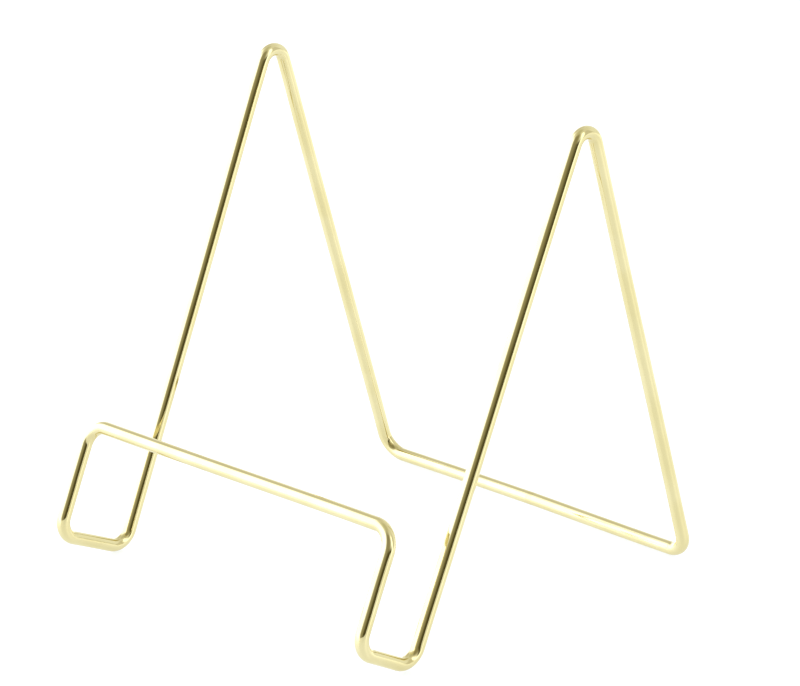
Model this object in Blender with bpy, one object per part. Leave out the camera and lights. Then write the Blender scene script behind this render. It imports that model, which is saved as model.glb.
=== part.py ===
"""Album stand: one round wire bent into a free-standing easel and closed by one butt weld.

The wire runs round a single closed loop. Each side of the stand is a tall narrow A with a short
ledge and a lip in front of it, and two straight bars join the sides: one behind, on the table,
and one along the top of the lips. The weld sits in the middle of the rear bar.
"""
from math import cos, pi, radians, sin, tan

import bmesh
import bpy
from mathutils import Matrix, Vector

# Driving dimensions, in metres. Lengths run between the sharp corners where the straight
# centre lines would meet, before the bends round them off.
WIRE_DIAMETER = 0.0040
SIDE_SPACING = 0.125           # centre line to centre line of the two sides
APEX_RISE = 0.149              # foot corner to apex corner, straight up
FRONT_LEAN = radians(24.0)     # front leg, back from upright
REAR_LEAN = radians(18.0)      # rear leg, forward from upright
LEDGE_LENGTH = 0.0255          # foot corner to toe corner, square to the front leg
LIP_LENGTH = 0.035             # toe corner to front bar, parallel to the front leg

# Bend radii on the wire's centre line
APEX_BEND = 0.0046
REAR_BEND = 0.0065
FOOT_BEND = 0.0058
TOE_BEND = 0.0058
LIP_BEND = 0.0065

# The butt weld: a short bead between the wire's two ends, dressed flush underneath
WELD_LENGTH = 0.0022
WELD_CROWN = 0.0001            # how far the bead stands proud of the wire at its middle
FIT_GAP = 0.0003               # clearance between the bead and each wire end

# Facets of the round wire: 20 flats put one square to each side's plane, one square to every
# ledge and leg, and one flat down on the table under the rear bar.
WIRE_SIDES = 20
BEND_STEP = radians(11.25)     # turn between two sections of a bend

HALF_WIRE = WIRE_DIAMETER / 2
X_AXIS = Vector((1.0, 0.0, 0.0))


def side_profile():
    """Corners of one side in its own plane, as (y, z) measured from the foot corner."""
    up_the_leg = Vector((sin(FRONT_LEAN), cos(FRONT_LEAN)))
    along_the_ledge = Vector((-cos(FRONT_LEAN), sin(FRONT_LEAN)))
    foot = Vector((0.0, 0.0))
    apex = Vector((APEX_RISE * tan(FRONT_LEAN), APEX_RISE))
    toe = foot + along_the_ledge * LEDGE_LENGTH
    lip = toe + up_the_leg * LIP_LENGTH
    # The foot bend and the rear bar touch the table together, so their centre lines
    # come down to one height.
    foot_bend_centre = (up_the_leg + along_the_ledge) * FOOT_BEND
    rear_height = foot_bend_centre.y - FOOT_BEND
    rear = Vector((apex.x + (APEX_RISE - rear_height) * tan(REAR_LEAN), rear_height))
    return {"rear": rear, "apex": apex, "foot": foot, "toe": toe, "lip": lip}


def wire_corners(profile):
    """Every corner of the loop as (point, bend radius), from right of the weld to its left."""
    bends = (("rear", REAR_BEND), ("apex", APEX_BEND), ("foot", FOOT_BEND),
             ("toe", TOE_BEND), ("lip", LIP_BEND))
    half = SIDE_SPACING / 2
    right = [(Vector((half, *profile[name])), bend) for name, bend in bends]
    left = [(Vector((-half, *profile[name])), bend) for name, bend in reversed(bends)]
    return right + left


def section_ring(mesh, centre, radius):
    """Cross-section square to X with one flat facing straight down; radius is to the flats."""
    placing = Matrix.Translation(centre) @ Matrix.Rotation(pi / 2, 4, "Y")
    first_flat_down = Matrix.Rotation(pi / WIRE_SIDES, 4, "Z")
    ring = bmesh.ops.create_circle(mesh, segments=WIRE_SIDES, radius=radius / cos(pi / WIRE_SIDES),
                                   matrix=placing @ first_flat_down)
    return list({edge for vert in ring["verts"] for edge in vert.link_edges})


def ring_points(ring):
    return list({vert for edge in ring for vert in edge.verts})


def feed(mesh, ring, step):
    """Push the wire's open end straight on by the vector step."""
    grown = bmesh.ops.extrude_edge_only(mesh, edges=ring)["geom"]
    points = {item for item in grown if isinstance(item, bmesh.types.BMVert)}
    bmesh.ops.translate(mesh, verts=list(points), vec=step)
    return [item for item in grown if isinstance(item, bmesh.types.BMEdge)
            and points.issuperset(item.verts)]


def bend(mesh, ring, centre, axis, angle):
    """Turn the wire's open end about a bending pin at centre."""
    steps = max(1, round(angle / BEND_STEP))
    turned = bmesh.ops.spin(mesh, geom=ring + ring_points(ring), cent=centre, axis=axis,
                            angle=angle, steps=steps)["geom_last"]
    return [item for item in turned if isinstance(item, bmesh.types.BMEdge)]


def form_wire(corners, start, end):
    """Feed and bend one wire from start, round every corner, to end."""
    wire = bmesh.new()
    ring = section_ring(wire, start, HALF_WIRE)
    position, heading = start, X_AXIS
    targets = [point for point, _ in corners[1:]] + [end]
    for (corner, radius), target in zip(corners, targets):
        new_heading = (target - corner).normalized()
        angle = heading.angle(new_heading)
        setback = radius * tan(angle / 2)
        bend_start = corner - heading * setback
        axis = heading.cross(new_heading).normalized()
        ring = feed(wire, ring, bend_start - position)
        ring = bend(wire, ring, bend_start + axis.cross(heading) * radius, axis, angle)
        position, heading = corner + new_heading * setback, new_heading
    feed(wire, ring, end - position)
    return wire


def form_weld(centre, length):
    """A barrel-shaped bead across the joint, its underside level with the wire's."""
    bead = bmesh.new()
    middle = centre + Vector((0.0, 0.0, WELD_CROWN))
    sections = ((centre - X_AXIS * length / 2, HALF_WIRE),
                (middle - X_AXIS * length / 6, HALF_WIRE + WELD_CROWN),
                (middle + X_AXIS * length / 6, HALF_WIRE + WELD_CROWN),
                (centre + X_AXIS * length / 2, HALF_WIRE))
    rings = [section_ring(bead, point, radius) for point, radius in sections]
    for ring, next_ring in zip(rings, rings[1:]):
        bmesh.ops.bridge_loops(bead, edges=ring + next_ring)
    return bead


def plated_brass(name, colour, roughness):
    """Polished yellow metal."""
    material = bpy.data.materials.new(name)
    material.use_nodes = True
    shader = material.node_tree.nodes["Principled BSDF"]
    shader.inputs["Base Color"].default_value = (*colour, 1.0)
    shader.inputs["Metallic"].default_value = 1.0
    shader.inputs["Roughness"].default_value = roughness
    return material


def close_into_object(name, mesh, material):
    """Cap the open ends, face every side outwards and make a smooth-shaded object."""
    bmesh.ops.holes_fill(mesh, edges=mesh.edges)
    bmesh.ops.recalc_face_normals(mesh, faces=mesh.faces)
    data = bpy.data.meshes.new(name)
    mesh.to_mesh(data)
    mesh.free()
    data.shade_smooth()
    data.set_sharp_from_angle(angle=radians(40.0))
    data.materials.append(material)
    piece = bpy.data.objects.new(name, data)
    bpy.context.scene.collection.objects.link(piece)
    return piece


def stand_on_table(pieces):
    """Put the middle of the footprint at the origin and the lowest points at height zero."""
    points = [vert.co for piece in pieces for vert in piece.data.vertices]
    depths = [point.y for point in points]
    lowest = min(point.z for point in points)
    for piece in pieces:
        piece.location = (0.0, -(min(depths) + max(depths)) / 2, -lowest)


def build_stand():
    profile = side_profile()
    weld_centre = Vector((0.0, *profile["rear"]))
    to_wire_end = X_AXIS * WELD_LENGTH / 2
    wire = form_wire(wire_corners(profile), weld_centre + to_wire_end, weld_centre - to_wire_end)
    bead = form_weld(weld_centre, WELD_LENGTH - 2 * FIT_GAP)
    plating = plated_brass("plated_wire", (0.80, 0.69, 0.36), 0.12)
    dressed = plated_brass("dressed_weld", (0.74, 0.63, 0.33), 0.30)
    stand_on_table([close_into_object("formed_wire", wire, plating),
                    close_into_object("butt_weld", bead, dressed)])


for leftover in list(bpy.data.objects):
    bpy.data.objects.remove(leftover, do_unlink=True)
build_stand()
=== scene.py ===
"""Looks of the album stand: one plated wire, as bent, with its dressed butt weld, in a light tent."""
from math import cos, radians, sin, tan, tau

import bpy
import numpy as np
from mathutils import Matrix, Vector


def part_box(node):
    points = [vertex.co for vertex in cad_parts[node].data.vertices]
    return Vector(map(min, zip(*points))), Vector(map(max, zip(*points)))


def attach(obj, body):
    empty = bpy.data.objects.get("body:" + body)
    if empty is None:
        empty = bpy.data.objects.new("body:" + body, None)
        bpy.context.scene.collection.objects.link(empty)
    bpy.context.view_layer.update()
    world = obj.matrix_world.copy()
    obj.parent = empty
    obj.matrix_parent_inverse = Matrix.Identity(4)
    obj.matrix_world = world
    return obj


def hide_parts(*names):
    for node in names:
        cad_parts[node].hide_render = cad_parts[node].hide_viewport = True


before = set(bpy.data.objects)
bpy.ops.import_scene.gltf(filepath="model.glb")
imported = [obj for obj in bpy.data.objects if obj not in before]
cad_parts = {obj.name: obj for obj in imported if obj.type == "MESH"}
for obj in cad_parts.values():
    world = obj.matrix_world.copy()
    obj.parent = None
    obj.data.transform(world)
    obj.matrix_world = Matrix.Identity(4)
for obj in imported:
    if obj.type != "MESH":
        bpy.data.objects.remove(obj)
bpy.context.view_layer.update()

# ---------------------------------------------------------------- driving dimensions, in metres
# The wire's own, the same as the CAD part's. Lengths run between the sharp corners of the
# centre line; the place of the whole comes from the CAD wire's box.
WIRE_DIAMETER = 0.0040
SIDE_SPACING = 0.125
APEX_RISE = 0.149
FRONT_LEAN = radians(24.0)
REAR_LEAN = radians(18.0)
LEDGE_LENGTH = 0.0255
LIP_LENGTH = 0.035
BEND_RADIUS = {"rear": 0.0065, "apex": 0.0046, "foot": 0.0058, "toe": 0.0058, "lip": 0.0065}
WELD_LENGTH = 0.0022

# How the real wire strays from its drawing. The right-hand corner of each pair sits TWIST from
# its drawn place and the left-hand one as far the other way, so the loop is slightly racked;
# both sit LIFT from it, so the ledges tip up a little more. The rear bar peaks slightly where
# its two halves meet at the weld, and the straight runs wave by BOW.
TWIST = {"rear": (0.0008, -0.0011, 0.0), "apex": (0.0003, 0.0001, -0.0012), "foot": (0.0, -0.0023, 0.0),
         "toe": (0.0, -0.0002, 0.0), "lip": (0.0, 0.0001, 0.0002)}
LIFT = {"toe": (0.0, 0.0002, 0.0005)}
WELD_PEAK = 0.0004
BOW = 0.00006
BOW_WAVE = 0.085

# Camera: it looks along a line that passes this far right of and above the origin.
VIEW_AZIMUTH = radians(44.70)
VIEW_ELEVATION = radians(18.23)
VIEW_DISTANCE = 1.1077
VIEW_RIGHT = 0.0070
VIEW_UP = 0.0652
LENS = 168.4

# The wire's section in its bends, and the dressed bead
OVALITY = 0.030                # how much the section flattens in a bend, as a share of its size
PIN_MARK = 0.000035            # depth of the flat that the bending pin leaves inside a bend
BEAD_LAP = 0.00005             # how far the bead laps over each wire end
BEAD_EDGE = 0.0002             # length of the bead's edge, beyond the lap
BEAD_PROUD = 0.000004          # height of the bead over the wire at its edges
BEAD_CROWN = 0.000010          # further height at its middle
BEAD_DIP = 0.000030            # how far its edges go down into the wire
FILE_MARK_DEPTH = 0.0000012
FILE_MARK_PITCH = 0.0004
PEAK_ROUNDING = 0.0006         # length over which the bead rounds off the bar's peak

# Mesh fineness
WIRE_SIDES = 48
STRAIGHT_STEP = 0.0014
BEND_STEP = 0.0004
BEAD_RINGS = 97

# The light tent's glow in each part, as linear colours
WHITE_BACKDROP = (1.0, 1.0, 1.0, 1.0)
LOW_WALLS = (1.00, 1.04, 1.06, 1.0)
HIGH_WALLS = (0.86, 0.87, 0.82, 1.0)
TOP = (0.64, 0.65, 0.52, 1.0)
SOFTBOX = (2.00, 2.12, 2.60, 1.0)
LEFT_SEAM = (0.72, 0.72, 0.68, 1.0)
RIGHT_SEAM = (0.74, 0.74, 0.68, 1.0)
RIGHT_STRIP = (1.85, 1.90, 2.00, 1.0)
OPENING = (0.34, 0.32, 0.21, 1.0)
OPENING_CORE = (0.085, 0.075, 0.03, 1.0)
BACKDROP_GLOW = 1.05

HALF_WIRE = WIRE_DIAMETER / 2


# ---------------------------------------------------------------- the wire's path
def side_profile():
    """Corners of one side in its own plane, as (y, z) from the foot corner."""
    up_the_leg = Vector((sin(FRONT_LEAN), cos(FRONT_LEAN)))
    along_the_ledge = Vector((-cos(FRONT_LEAN), sin(FRONT_LEAN)))
    toe = along_the_ledge * LEDGE_LENGTH
    foot_bend_centre = (up_the_leg + along_the_ledge) * BEND_RADIUS["foot"]
    rear_height = foot_bend_centre.y - BEND_RADIUS["foot"]
    apex = Vector((APEX_RISE * tan(FRONT_LEAN), APEX_RISE))
    rear = Vector((apex.x + (APEX_RISE - rear_height) * tan(REAR_LEAN), rear_height))
    return {"rear": rear, "apex": apex, "foot": Vector((0.0, 0.0)), "toe": toe,
            "lip": toe + up_the_leg * LIP_LENGTH}


def wire_corners():
    """Corners of the loop as (point, bend radius), from right of the weld round to its left."""
    profile = side_profile()
    low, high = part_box("formed_wire")
    shift = Vector((high.y - HALF_WIRE, low.z + HALF_WIRE)) - profile["rear"]
    corners = []
    for side, names in ((1, ("rear", "apex", "foot", "toe", "lip")),
                        (-1, ("lip", "toe", "foot", "apex", "rear"))):
        for name in names:
            drawn = Vector((side * SIDE_SPACING / 2, *(profile[name] + shift)))
            strayed = drawn + side * Vector(TWIST[name]) + Vector(LIFT.get(name, (0.0, 0.0, 0.0)))
            corners.append((strayed, BEND_RADIUS[name]))
    return corners


def smooth_step(x):
    x = np.clip(x, 0.0, 1.0)
    return x * x * (3.0 - 2.0 * x)


def straight_run(start, end, phase):
    """Points along one straight run, waving by BOW, with no bend."""
    length = (end - start).length
    share = np.linspace(0.0, 1.0, max(2, round(length / STRAIGHT_STEP) + 1))
    points = np.array(start) + np.outer(share, np.array(end - start))
    heading = (end - start).normalized()
    across = heading.cross(Vector((0.3, 0.5, 0.8))).normalized()
    upright = heading.cross(across)
    settle = smooth_step(share * length / 0.012) * smooth_step((1.0 - share) * length / 0.012)
    wave = share * length / BOW_WAVE * tau
    points += np.outer(BOW * settle * np.sin(wave + phase), np.array(across))
    points += np.outer(BOW * settle * np.sin(0.6 * wave + 2.0 * phase), np.array(upright))
    return points


def bend_run(corner, radius, heading, new_heading):
    """Points round one bend, and the direction from each towards the bend's centre."""
    angle = heading.angle(new_heading)
    setback = radius * tan(angle / 2)
    inward = (new_heading - heading * heading.dot(new_heading)).normalized()
    centre = corner - heading * setback + inward * radius
    turned = np.linspace(0.0, angle, max(6, round(angle * radius / BEND_STEP) + 1))
    outward = np.outer(-np.cos(turned), np.array(inward)) + np.outer(np.sin(turned), np.array(heading))
    return np.array(centre) + radius * outward, -outward, setback


def weld_place(corners):
    """Middle of the weld, and the directions in which the bar leaves it to the right and left."""
    first, last = corners[0][0], corners[-1][0]
    weld = (first + last) / 2 + Vector((0.0, 0.0, WELD_PEAK))
    return weld, (first - weld).normalized(), (last - weld).normalized()


def close_ends(rows):
    """Add a row just inside each end, so that smooth shading turns over onto the cap only there."""
    inside_start = 0.98 * rows[0] + 0.02 * rows[1]
    inside_end = 0.98 * rows[-1] + 0.02 * rows[-2]
    return np.vstack((rows[:1], inside_start, rows[1:-1], inside_end, rows[-1:]))


def wire_path():
    """Centre line from right of the weld to its left, with the pull towards each bend's centre."""
    corners = wire_corners()
    weld, rightward, leftward = weld_place(corners)
    start = weld + rightward * WELD_LENGTH / 2
    end = weld + leftward * WELD_LENGTH / 2
    stops = [start] + [corner for corner, _ in corners] + [end]
    points, pulls = [], []
    position = start
    for number, (corner, radius) in enumerate(corners):
        heading = (corner - stops[number]).normalized()
        new_heading = (stops[number + 2] - corner).normalized()
        arc, inward, setback = bend_run(corner, radius, heading, new_heading)
        run = straight_run(position, corner - heading * setback, number * 1.7)
        points += [run, arc[1:-1]]
        pulls += [np.zeros_like(run), inward[1:-1]]
        position = corner + new_heading * setback
    points.append(straight_run(position, end, 5.0))
    pulls.append(np.zeros_like(points[-1]))
    return close_ends(np.concatenate(points)), close_ends(np.concatenate(pulls))


def soften(values, times):
    """Average each row with its neighbours, so that a bend's effects fade in."""
    for _ in range(times):
        padded = np.pad(values, ((1, 1), (0, 0)), mode="edge")
        values = (padded[:-2] + 2.0 * padded[1:-1] + padded[2:]) / 4.0
    return values


def carried_frames(points):
    """Unit tangent and two cross directions at each point, carried along without twisting."""
    tangents = np.gradient(points, axis=0)
    tangents /= np.linalg.norm(tangents, axis=1)[:, None]
    normal = np.cross(tangents[0], (0.0, 0.0, 1.0))
    normals = []
    for tangent in tangents:
        normal = normal - tangent * normal.dot(tangent)
        normal = normal / np.linalg.norm(normal)
        normals.append(normal)
    normals = np.array(normals)
    return tangents, normals, np.cross(tangents, normals)


# ---------------------------------------------------------------- meshes
def tube(name, points, radii, normals, binormals):
    """Closed tube: radii holds one radius for each point and side."""
    count, sides = radii.shape
    angles = np.arange(sides) * tau / sides
    ring = (np.cos(angles)[None, :, None] * normals[:, None, :]
            + np.sin(angles)[None, :, None] * binormals[:, None, :])
    vertices = points[:, None, :] + radii[:, :, None] * ring
    faces = []
    for i in range(count - 1):
        for j in range(sides):
            k = (j + 1) % sides
            faces.append((i * sides + j, i * sides + k, (i + 1) * sides + k, (i + 1) * sides + j))
    faces.append(tuple(reversed(range(sides))))
    faces.append(tuple(range((count - 1) * sides, count * sides)))
    mesh = bpy.data.meshes.new(name)
    mesh.from_pydata(vertices.reshape(-1, 3).tolist(), [], faces)
    mesh.shade_smooth()
    piece = bpy.data.objects.new(name, mesh)
    bpy.context.scene.collection.objects.link(piece)
    lengths = np.concatenate(([0.0], np.cumsum(np.linalg.norm(np.diff(points, axis=0), axis=1))))
    place = np.empty((count, sides, 3), np.float32)
    place[:, :, 0] = lengths[:, None]
    place[:, :, 1] = HALF_WIRE * np.cos(angles)[None, :]
    place[:, :, 2] = HALF_WIRE * np.sin(angles)[None, :]
    store = mesh.attributes.new("wire_place", "FLOAT_VECTOR", "POINT")
    store.data.foreach_set("vector", place.ravel())
    return piece


def store_float(piece, name, values):
    store = piece.data.attributes.new(name, "FLOAT", "POINT")
    store.data.foreach_set("value", values.astype(np.float32).ravel())


def formed_wire():
    """The bent wire: round, slightly oval and pin-marked in its bends."""
    points, pulls = wire_path()
    pulls = soften(pulls, 3)
    strength = np.linalg.norm(pulls, axis=1)
    _, normals, binormals = carried_frames(points)
    angles = np.arange(WIRE_SIDES) * tau / WIRE_SIDES
    ring = (np.cos(angles)[None, :, None] * normals[:, None, :]
            + np.sin(angles)[None, :, None] * binormals[:, None, :])
    facing = np.einsum("ijk,ik->ij", ring, pulls)
    oval = OVALITY * (0.5 * strength[:, None] - facing ** 2)
    pin_mark = PIN_MARK * smooth_step((facing - 0.80) / 0.20)
    radii = HALF_WIRE * (1.0 + oval) - pin_mark
    wire = tube("wire", points, radii, normals, binormals)
    store_float(wire, "bend", np.repeat(strength, WIRE_SIDES))
    # How far each side faces the inside of its bend; the material paints shade there.
    store_float(wire, "inside", np.clip(facing, 0.0, 1.0))
    return wire


def weld_bead():
    """The dressed bead between the wire's ends: a low crown that dips into the wire at each side."""
    weld, rightward, leftward = weld_place(wire_corners())
    edge = WELD_LENGTH / 2 + BEAD_LAP
    reach = edge + BEAD_EDGE
    across = np.linspace(-reach, reach, BEAD_RINGS)
    points = np.array(weld) + np.outer(across, np.array(rightward - leftward) / 2)
    points += np.outer(np.hypot(across, PEAK_ROUNDING), np.array(rightward + leftward) / 2)
    fade = np.cos(across / reach * tau / 4) ** 2
    dip = smooth_step((np.abs(across) - edge) / (reach - edge))
    crown = BEAD_PROUD + BEAD_CROWN * fade - BEAD_DIP * dip
    ripple = FILE_MARK_DEPTH * np.sin(across / FILE_MARK_PITCH * tau) * fade
    radii = np.repeat((HALF_WIRE + crown + ripple)[:, None], WIRE_SIDES, axis=1)
    _, normals, binormals = carried_frames(points)
    return tube("weld", points, radii, normals, binormals)


# ---------------------------------------------------------------- materials
class Nodes:
    """Short-hand for adding and wiring the nodes of one material or world."""

    def __init__(self, tree):
        self.tree = tree
        self.tree.nodes.clear()

    def add(self, kind, inputs=None, **settings):
        node = self.tree.nodes.new("ShaderNode" + kind)
        for key, value in settings.items():
            setattr(node, key, value)
        for key, value in (inputs or {}).items():
            if isinstance(value, bpy.types.NodeSocket):
                self.tree.links.new(value, node.inputs[key])
            else:
                node.inputs[key].default_value = value
        return node

    def ramp(self, factor, low, high, to_low=0.0, to_high=1.0, curve="SMOOTHSTEP"):
        return self.add("MapRange", {"Value": factor, "From Min": low, "From Max": high,
                                     "To Min": to_low, "To Max": to_high},
                        interpolation_type=curve).outputs["Result"]

    def mix(self, factor, first, second):
        node = self.add("Mix", data_type="RGBA")
        for key, value in ((0, factor), (6, first), (7, second)):
            if isinstance(value, bpy.types.NodeSocket):
                self.tree.links.new(value, node.inputs[key])
            else:
                node.inputs[key].default_value = value
        return node.outputs[2]

    def math(self, operation, first, second):
        return self.add("Math", {0: first, 1: second}, operation=operation).outputs["Value"]

    def noise(self, place, scale, detail=3.0, roughness=0.5):
        return self.add("TexNoise", {"Vector": place, "Scale": scale, "Detail": detail,
                                     "Roughness": roughness}).outputs["Fac"]


def rgba(red, green, blue):
    return (red, green, blue, 1.0)


def new_material(name):
    material = bpy.data.materials.new(name)
    material.use_nodes = True
    return material, Nodes(material.node_tree)


def plated_wire_material():
    """Bright pale brass plating: drawing lines, soft colour drift, duller stretched bends with painted
    shade inside.
    """
    material, nodes = new_material("plated_wire")
    place = nodes.add("Attribute", attribute_name="wire_place").outputs["Vector"]
    bend = nodes.add("Attribute", attribute_name="bend").outputs["Fac"]
    inside = nodes.add("Attribute", attribute_name="inside").outputs["Fac"]
    lengthwise = nodes.add("Mapping", {"Vector": place, "Scale": (45.0, 6500.0, 6500.0)},
                           vector_type="POINT").outputs["Vector"]
    lines = nodes.noise(lengthwise, 1.0, 4.0, 0.6)
    drift = nodes.noise(place, 70.0, 2.0)
    specks = nodes.noise(place, 2600.0, 2.0, 0.7)
    colour = nodes.mix(nodes.ramp(drift, 0.35, 0.65), rgba(0.785, 0.685, 0.345),
                       rgba(0.82, 0.725, 0.395))
    # Painted shade: the colour darkens towards the inside of each bend.
    colour = nodes.mix(nodes.math("MULTIPLY", inside, 0.30), colour, rgba(0.68, 0.57, 0.27))
    colour = nodes.mix(nodes.ramp(specks, 0.70, 0.78, 0.0, 0.35), colour, rgba(0.55, 0.46, 0.24))
    rough = nodes.ramp(lines, 0.3, 0.7, 0.045, 0.085)
    rough = nodes.math("ADD", rough, nodes.math("MULTIPLY", bend, 0.02))
    rough = nodes.math("ADD", rough, nodes.ramp(specks, 0.66, 0.80, 0.0, 0.10))
    stretch = nodes.noise(place, 1500.0, 3.0, 0.6)
    height = nodes.math("ADD", nodes.math("MULTIPLY", lines, 0.5),
                        nodes.math("MULTIPLY", nodes.math("MULTIPLY", stretch, bend), 1.2))
    bump = nodes.add("Bump", {"Height": height, "Strength": 0.12, "Distance": 0.00002})
    shader = nodes.add("BsdfPrincipled", {"Base Color": colour, "Roughness": rough, "Metallic": 1.0,
                                          "Normal": bump.outputs["Normal"]})
    nodes.add("OutputMaterial", {"Surface": shader.outputs["BSDF"]})
    return material


def dressed_weld_material():
    """The same plating over filed metal: duller, with file marks running round the bead."""
    material, nodes = new_material("dressed_weld")
    place = nodes.add("Attribute", attribute_name="wire_place").outputs["Vector"]
    around = nodes.add("Mapping", {"Vector": place, "Scale": (9000.0, 400.0, 400.0)},
                       vector_type="POINT").outputs["Vector"]
    marks = nodes.noise(around, 1.0, 4.0, 0.6)
    colour = nodes.mix(nodes.ramp(marks, 0.35, 0.70), rgba(0.79, 0.69, 0.35), rgba(0.74, 0.63, 0.31))
    rough = nodes.ramp(marks, 0.3, 0.7, 0.08, 0.15)
    bump = nodes.add("Bump", {"Height": marks, "Strength": 0.15, "Distance": 0.00002})
    shader = nodes.add("BsdfPrincipled", {"Base Color": colour, "Roughness": rough, "Metallic": 1.0,
                                          "Normal": bump.outputs["Normal"]})
    nodes.add("OutputMaterial", {"Surface": shader.outputs["BSDF"]})
    return material


def floor_material():
    """A lit white acrylic table: it glows softly, so that it carries next to no shadow."""
    material, nodes = new_material("studio_floor")
    shader = nodes.add("BsdfPrincipled", {"Base Color": rgba(0.30, 0.31, 0.32), "Roughness": 0.20,
                                          "IOR": 1.8, "Emission Color": rgba(0.93, 0.97, 1.04),
                                          "Emission Strength": 0.74})
    nodes.add("OutputMaterial", {"Surface": shader.outputs["BSDF"]})
    return material


# ---------------------------------------------------------------- stage
def compass(azimuth, elevation):
    """Direction at a bearing in degrees from the front, positive towards +X, and a height."""
    a, e = radians(azimuth), radians(elevation)
    return Vector((sin(a) * cos(e), -cos(a) * cos(e), sin(e)))


def light_tent():
    """A white tent: softbox on the left, strip on the right, duller overhead, open and dark in front."""
    world = bpy.data.worlds.new("light_tent")
    world.use_nodes = True
    bpy.context.scene.world = world
    nodes = Nodes(world.node_tree)
    direction = nodes.add("TexCoord").outputs["Generated"]
    flat = nodes.add("VectorMath", {0: direction, 1: (1.0, 1.0, 0.0)}, operation="MULTIPLY")
    bearing = nodes.add("VectorMath", {0: flat.outputs["Vector"]}, operation="NORMALIZE")
    height = nodes.add("SeparateXYZ", {"Vector": direction}).outputs["Z"]

    def towards(azimuth, elevation, near, far):
        """1 within near degrees of a direction, fading to 0 at far degrees."""
        aim = tuple(compass(azimuth, elevation))
        dot = nodes.add("VectorMath", {0: direction, 1: aim}, operation="DOT_PRODUCT").outputs["Value"]
        return nodes.ramp(dot, cos(radians(far)), cos(radians(near)))

    def bearing_near(azimuth, near, far):
        """1 within near degrees of a bearing at any height, fading to 0 at far degrees."""
        aim = tuple(compass(azimuth, 0.0))
        dot = nodes.add("VectorMath", {0: bearing.outputs["Vector"], 1: aim},
                        operation="DOT_PRODUCT").outputs["Value"]
        return nodes.ramp(dot, cos(radians(far)), cos(radians(near)))

    light = nodes.mix(nodes.ramp(height, 0.35, 0.85), LOW_WALLS, HIGH_WALLS)
    light = nodes.mix(nodes.ramp(height, 0.88, 1.0), light, TOP)
    softbox = nodes.math("MULTIPLY", bearing_near(-62.0, 38.0, 78.0), nodes.ramp(height, 0.90, 0.66))
    light = nodes.mix(softbox, light, SOFTBOX)
    light = nodes.mix(towards(-114.0, 41.0, 8.0, 30.0), light, LEFT_SEAM)
    seam = nodes.math("MULTIPLY", bearing_near(130.0, 6.0, 18.0), nodes.ramp(height, 0.78, 0.64))
    light = nodes.mix(seam, light, RIGHT_SEAM)
    strip = nodes.math("MULTIPLY", bearing_near(108.0, 5.0, 13.0), nodes.ramp(height, 0.86, 0.70))
    light = nodes.mix(strip, light, RIGHT_STRIP)
    opening = nodes.math("MULTIPLY", bearing_near(43.0, 16.0, 55.0), nodes.ramp(height, 1.02, 0.86))
    light = nodes.mix(opening, light, OPENING)
    core = nodes.math("MULTIPLY", bearing_near(73.0, 24.0, 37.0), nodes.ramp(height, 0.46, 0.10))
    light = nodes.mix(core, light, OPENING_CORE)
    tent_light = nodes.add("Background", {"Color": light, "Strength": 1.0})
    backdrop = nodes.add("Background", {"Color": WHITE_BACKDROP, "Strength": BACKDROP_GLOW})
    seen = nodes.add("LightPath").outputs["Is Camera Ray"]
    both = nodes.add("MixShader", {0: seen, 1: tent_light.outputs[0], 2: backdrop.outputs[0]})
    nodes.add("OutputWorld", {"Surface": both.outputs[0]})


def area_light(name, azimuth, elevation, distance, size, watts):
    """A square lamp aimed at the stand, seen neither directly nor in the metal."""
    data = bpy.data.lights.new(name, "AREA")
    data.shape, data.size, data.energy = "SQUARE", size, watts
    lamp = bpy.data.objects.new(name, data)
    direction = compass(azimuth, elevation)
    lamp.location = direction * distance
    lamp.rotation_mode = "QUATERNION"
    lamp.rotation_quaternion = direction.to_track_quat("Z", "Y")
    lamp.visible_camera = False
    lamp.visible_glossy = False
    bpy.context.scene.collection.objects.link(lamp)


def studio_floor():
    """A wide plane under the stand."""
    bpy.ops.mesh.primitive_plane_add(size=24.0)
    floor = bpy.context.object
    floor.name = "floor"
    floor.data.materials.append(floor_material())


def camera():
    """The view of the stand from its front right, slightly above."""
    data = bpy.data.cameras.new("camera")
    data.lens, data.sensor_width = LENS, 36.0
    data.clip_start, data.clip_end = 0.05, 60.0
    eye = bpy.data.objects.new("camera", data)
    back = Vector((sin(VIEW_AZIMUTH) * cos(VIEW_ELEVATION), -cos(VIEW_AZIMUTH) * cos(VIEW_ELEVATION),
                   sin(VIEW_ELEVATION)))
    right = Vector((cos(VIEW_AZIMUTH), sin(VIEW_AZIMUTH), 0.0))
    eye.location = right * VIEW_RIGHT + back.cross(right) * VIEW_UP + back * VIEW_DISTANCE
    eye.rotation_mode = "QUATERNION"
    eye.rotation_quaternion = (-back).to_track_quat("-Z", "Y")
    bpy.context.scene.collection.objects.link(eye)
    bpy.context.scene.camera = eye


camera()
wire_piece = formed_wire()
bead = weld_bead()
wire_piece.data.materials.append(plated_wire_material())
bead.data.materials.append(dressed_weld_material())
for made, node, finish in ((wire_piece, "formed_wire", "plated_wire"),
                           (bead, "butt_weld", "dressed_weld")):
    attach(made, "root")
    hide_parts(node)

studio_floor()
light_tent()
area_light("overhead", -60.0, 78.0, 2.4, 3.2, 9.0)
bpy.context.scene.view_settings.view_transform = "Standard"
